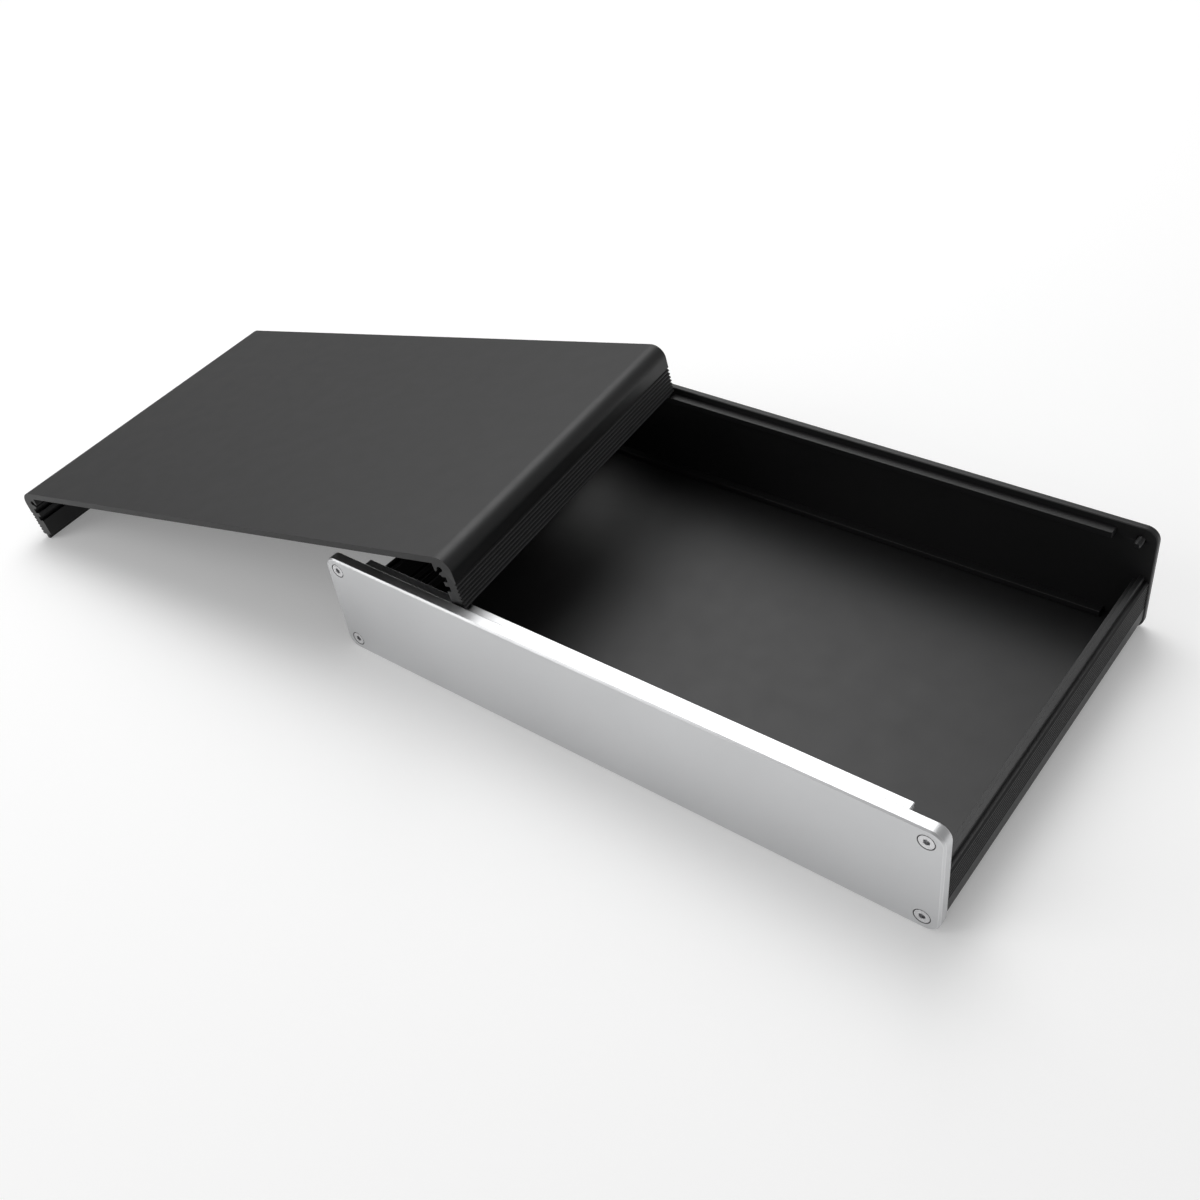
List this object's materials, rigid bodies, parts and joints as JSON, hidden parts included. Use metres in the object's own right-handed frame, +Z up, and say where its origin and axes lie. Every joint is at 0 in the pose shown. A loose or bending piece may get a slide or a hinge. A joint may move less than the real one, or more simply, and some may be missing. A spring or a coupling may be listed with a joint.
{
  "type": "amplifier chassis",
  "caption": "Low aluminium amplifier enclosure: silver front panel and black rear panel on a U-shaped extruded tray, its matching cover taken off and leaning on it.",
  "frame": {"origin": "centre of the lower shell's underside", "axes": "+Z up, the front panel looks along -Y, +X to the right along the panels; the cover leans on the tray's left part"},
  "size_m": [0.4057, 0.1632, 0.0572],
  "materials": {
    "black_anodised": "satin black anodised, finely blasted",
    "silver_anodised": "satin clear anodised, finely blasted",
    "screw_steel": "plain bright steel",
    "screw_black": "blackened steel"
  },
  "bodies": {
    "root": {"top_cover": "black_anodised", "bottom_shell": "black_anodised", "front_panel": "silver_anodised", "rear_panel": "black_anodised", "front_screw_upper_left": "screw_steel", "front_screw_upper_right": "screw_steel", "front_screw_lower_left": "screw_steel", "front_screw_lower_right": "screw_steel", "rear_screw_upper_left": "screw_black", "rear_screw_upper_right": "screw_black", "rear_screw_lower_left": "screw_black", "rear_screw_lower_right": "screw_black"}
  },
  "joints": []
}
